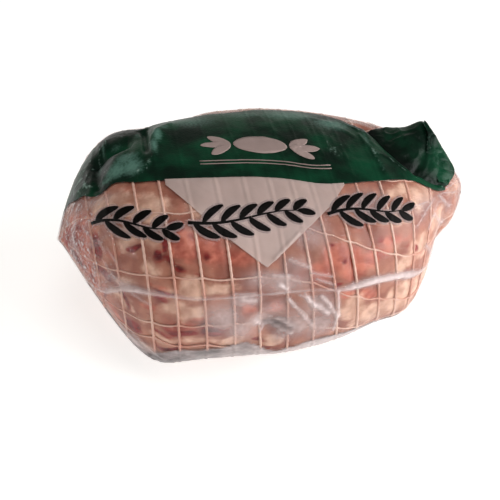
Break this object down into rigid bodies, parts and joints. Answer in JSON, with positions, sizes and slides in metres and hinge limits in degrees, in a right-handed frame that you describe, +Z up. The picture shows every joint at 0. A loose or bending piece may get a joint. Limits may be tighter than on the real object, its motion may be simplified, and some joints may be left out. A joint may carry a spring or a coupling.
{
  "type": "raw boneless lamb shoulder",
  "caption": "Rolled raw boneless lamb shoulder in an elastic roasting net, sealed in a clear shrink bag with a green printed band.",
  "frame": {"origin": "on the table under the middle of the pack, at the centre of its bounding box", "axes": "+X runs along the rolled shoulder towards the end with the tab of spare film, -Y is the front that faces the viewer, +Z is up"},
  "size_m": [0.231, 0.158, 0.1092],
  "materials": {
    "film": "clear shrink film, wet and tight, with fine creases",
    "print": "dark green ink printed on the film, with pale and black motifs",
    "meat": "raw lamb, salmon red lean with cream fat, wet",
    "net": "twisted elastic string, cream stained pink"
  },
  "bodies": {
    "root": {"pack": "film"}
  },
  "joints": []
}
